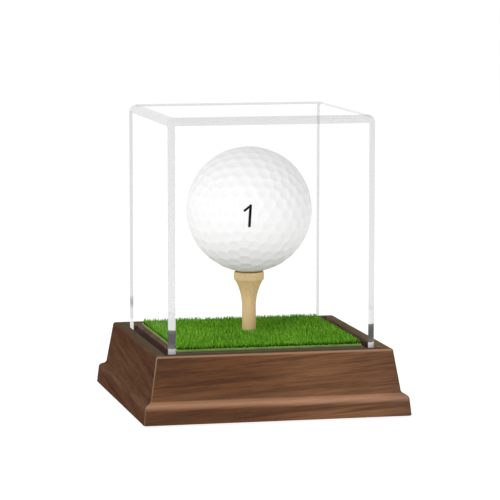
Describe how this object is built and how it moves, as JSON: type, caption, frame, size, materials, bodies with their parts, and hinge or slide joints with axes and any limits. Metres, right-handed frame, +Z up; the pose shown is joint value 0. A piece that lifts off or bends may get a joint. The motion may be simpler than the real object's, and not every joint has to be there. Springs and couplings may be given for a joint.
{
  "type": "golf ball display case",
  "caption": "Square mitred walnut base with an ogee edge, a turf pad and a wooden tee carrying a dimpled ball, under a clear lift-off cover that stands in a groove.",
  "frame": {"origin": "middle of the base, at the height of the table that the pads stand on", "axes": "+Z up; -Y towards the front as the picture shows it; +X to the right seen from the front"},
  "size_m": [0.0896, 0.0896, 0.0991],
  "materials": {
    "walnut": "satin lacquered walnut with straight grain",
    "dark_walnut": "satin lacquered walnut",
    "key_wood": "plain beech",
    "board": "stained fibre board",
    "steel": "zinc plated",
    "rubber": "matt non-slip",
    "turf": "short artificial grass on a green backing",
    "beech": "turned, unvarnished",
    "ball_white": "glossy white with dimples",
    "clear_acrylic": "clear, polished, rounded edges"
  },
  "bodies": {
    "base": {"moulding_front": "walnut", "moulding_back": "walnut", "moulding_left": "walnut", "moulding_right": "walnut", "mitre_key_back_left": "key_wood", "mitre_key_back_right": "key_wood", "mitre_key_front_left": "key_wood", "mitre_key_front_right": "key_wood", "platform": "dark_walnut", "base_panel": "board", "panel_screw_front": "steel", "panel_screw_back": "steel", "panel_screw_left": "steel", "panel_screw_right": "steel", "pad_back_left": "rubber", "pad_back_right": "rubber", "pad_front_left": "rubber", "pad_front_right": "rubber", "turf": "turf"},
    "cover": {"acrylic_cover": "clear_acrylic"},
    "tee": {"tee": "beech"},
    "ball": {"golf_ball": "ball_white"}
  },
  "joints": [
    {"name": "cover_lift", "type": "slide", "parent": "base", "child": "cover", "axis": [0, 0, 1], "range_m": [0, 0.085]},
    {"name": "tee_turn", "type": "hinge", "parent": "base", "child": "tee", "pos_m": [0, 0, 0.0441], "axis": [0, 0, 1], "continuous": true},
    {"name": "ball_lift", "type": "slide", "parent": "tee", "child": "ball", "axis": [0, 0, 1], "range_m": [0, 0.0095]}
  ]
}
